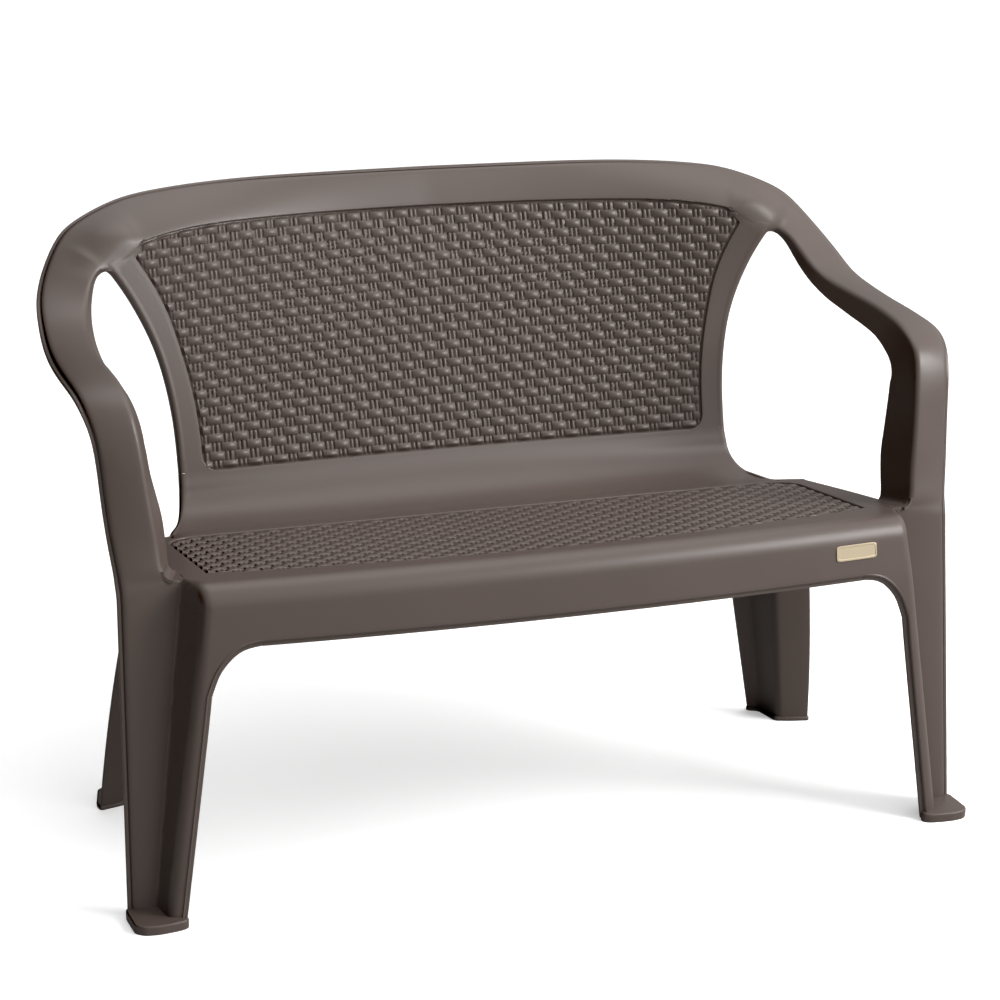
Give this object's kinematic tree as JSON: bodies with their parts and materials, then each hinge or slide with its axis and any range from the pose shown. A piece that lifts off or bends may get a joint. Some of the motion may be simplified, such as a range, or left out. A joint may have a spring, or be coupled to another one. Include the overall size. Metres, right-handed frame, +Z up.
{
  "type": "garden bench",
  "caption": "Moulded plastic two-seat garden bench with woven-pattern seat and back, sweeping armrests and splayed stepped legs.",
  "frame": {"origin": "on the floor, at the centre of the bench's bounding box", "axes": "+X towards the right as seen from in front, along the bench's length; +Y from the seat front to the back; +Z up"},
  "size_m": [1.1776, 0.6179, 0.805],
  "materials": {
    "moulding": "satin, finely grained taupe brown polypropylene",
    "badge_metal": "satin champagne metallised plate"
  },
  "bodies": {
    "root": {"front_apron": "moulding", "seat_front_roll": "moulding", "seat_panel": "moulding", "lumbar_band": "moulding", "back_panel": "moulding", "rear_apron": "moulding", "under_seat_ribs": "moulding", "top_rail": "moulding", "badge_plate": "badge_metal", "seat_border_left": "moulding", "seat_border_right": "moulding", "seat_corner_left": "moulding", "seat_corner_right": "moulding", "side_rail_left": "moulding", "side_rail_right": "moulding", "back_stile_left": "moulding", "back_stile_right": "moulding", "front_leg_left": "moulding", "front_leg_right": "moulding", "post_root_left": "moulding", "post_root_right": "moulding", "front_foot_left": "moulding", "front_foot_right": "moulding", "rear_leg_left": "moulding", "rear_leg_right": "moulding", "rear_foot_left": "moulding", "rear_foot_right": "moulding", "arm_post_left": "moulding", "arm_post_right": "moulding", "arm_bend_left": "moulding", "arm_bend_right": "moulding", "armrest_left": "moulding", "armrest_right": "moulding", "back_corner_left": "moulding", "back_corner_right": "moulding"}
  },
  "joints": []
}
